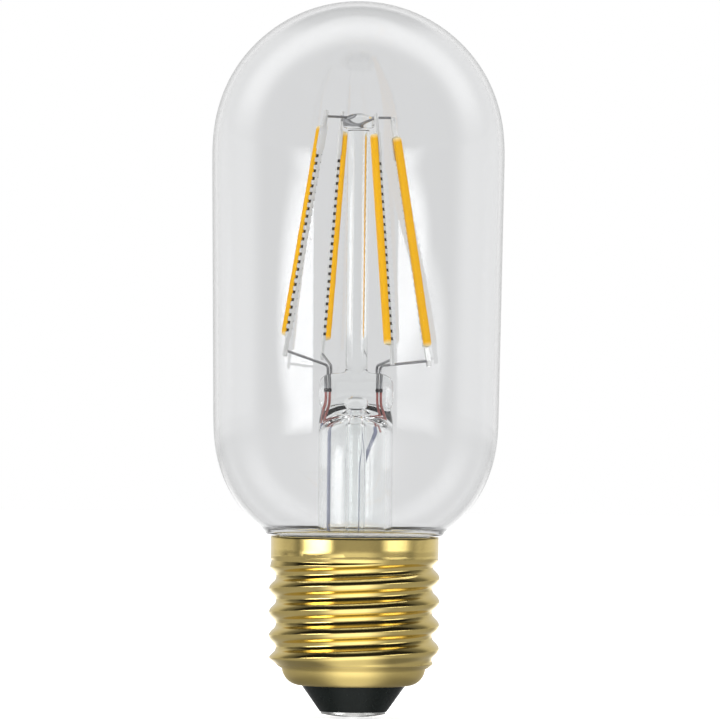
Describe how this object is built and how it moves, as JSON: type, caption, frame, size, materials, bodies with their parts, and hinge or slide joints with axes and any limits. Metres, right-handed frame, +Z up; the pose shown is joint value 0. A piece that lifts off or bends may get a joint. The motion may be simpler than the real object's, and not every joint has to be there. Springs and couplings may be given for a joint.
{
  "type": "tubular light bulb",
  "caption": "Clear tubular filament-style lamp with a rounded glass envelope, slanted amber filaments on a glass stem, and a brass screw cap with black insulator and centre contact.",
  "frame": {"origin": "lowest point of the centre contact, on the lamp axis", "axes": "+Z up along the lamp axis from the cap to the dome, +X to the right in the picture, +Y away from its camera"},
  "size_m": [0.045, 0.045, 0.11],
  "materials": {
    "clear_glass": "clear, polished",
    "stem_glass": "clear, fire-polished",
    "brass_sheet": "polished, rolled sheet",
    "black_insulator": "satin black",
    "nickel_contact": "nickel plated",
    "lamp_cement": "matt",
    "phosphor": "satin silicone",
    "strip_metal": "plated",
    "nickel_wire": "drawn wire",
    "seal_copper": "reddish copper-clad wire",
    "lead_copper": "blue-grey coated wire",
    "board_laminate": "green solder resist",
    "component_black": "moulded",
    "capacitor_can": "drawn can",
    "resistor_coat": "satin coat",
    "hook_up_wire": "tinned copper wire"
  },
  "bodies": {
    "root": {"cap_cement": "lamp_cement", "cap_insulator": "black_insulator", "centre_contact": "nickel_contact", "contact_wire": "hook_up_wire", "driver_board": "board_laminate", "driver_chip": "component_black", "exhaust_tube": "stem_glass", "filament_phosphor_1": "phosphor", "filament_phosphor_2": "phosphor", "filament_phosphor_3": "phosphor", "filament_phosphor_4": "phosphor", "filament_strip_1": "strip_metal", "filament_strip_2": "strip_metal", "filament_strip_3": "strip_metal", "filament_strip_4": "strip_metal", "fuse_resistor": "resistor_coat", "glass_envelope": "clear_glass", "inner_lead_1": "nickel_wire", "inner_lead_2": "nickel_wire", "inner_lead_3": "nickel_wire", "inner_lead_4": "nickel_wire", "lower_anchor_wire": "nickel_wire", "outer_lead_left": "lead_copper", "outer_lead_right": "lead_copper", "rectifier": "component_black", "screw_shell": "brass_sheet", "seal_wire_1": "seal_copper", "seal_wire_2": "seal_copper", "seal_wire_3": "seal_copper", "seal_wire_4": "seal_copper", "shell_wire": "hook_up_wire", "smoothing_capacitor": "capacitor_can", "stem_flare": "stem_glass", "support_rod": "stem_glass", "upper_anchor_wire": "nickel_wire"}
  },
  "joints": []
}
